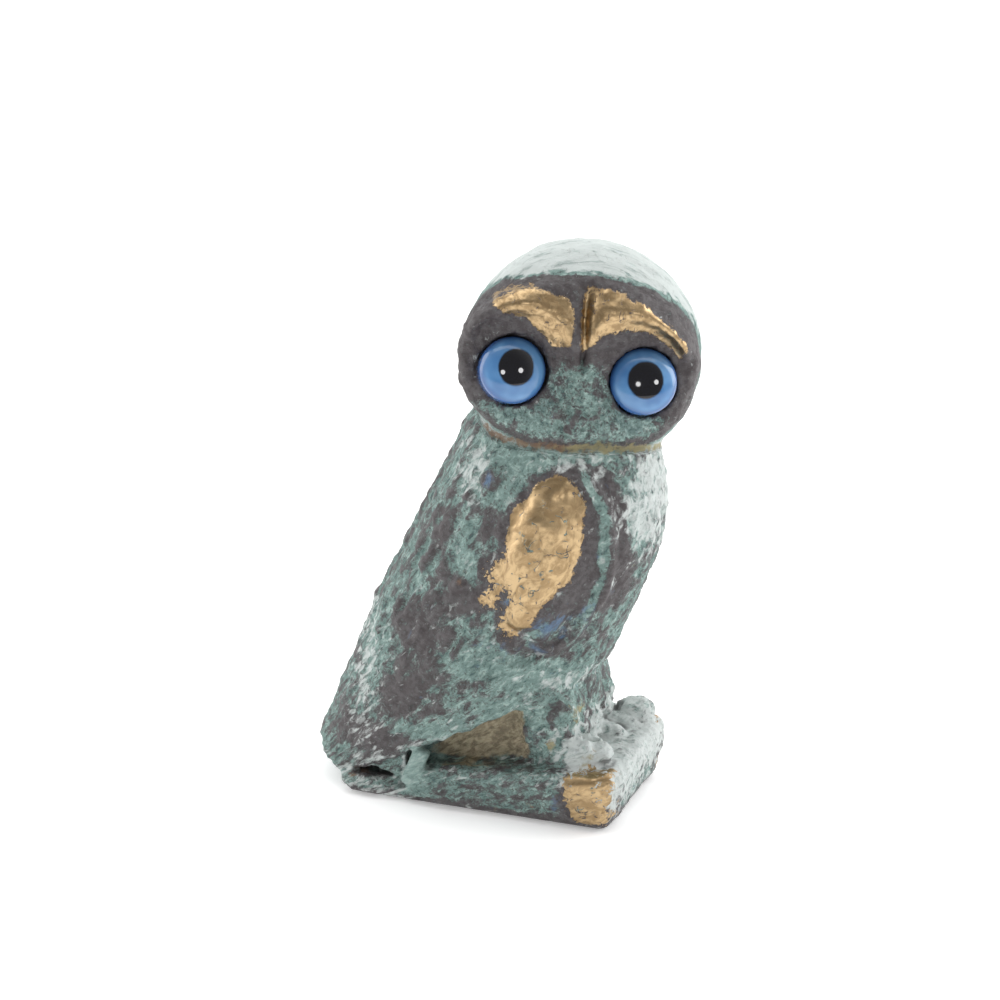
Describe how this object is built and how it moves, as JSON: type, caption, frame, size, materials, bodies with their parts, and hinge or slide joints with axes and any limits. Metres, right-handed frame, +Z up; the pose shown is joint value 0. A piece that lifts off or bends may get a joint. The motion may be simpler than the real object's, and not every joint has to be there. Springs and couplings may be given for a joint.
{
  "type": "owl statue",
  "caption": "Small cast bronze owl standing on its own low plinth, head turned to the viewer, with inset glass eyes.",
  "frame": {"origin": "middle of the plinth's flat underside", "axes": "+X the way the breast points, along the plinth; +Y the owl's left; +Z up. The head is turned towards -Y"},
  "size_m": [0.0469, 0.0254, 0.0697],
  "materials": {
    "bronze": "cast bronze with a green and dark brown patina, burnished to gold on its high places",
    "eye_glass": "glossy blue fused glass with a round black pupil"
  },
  "bodies": {
    "root": {"owl_casting": "bronze", "right_eye": "eye_glass", "left_eye": "eye_glass"}
  },
  "joints": []
}
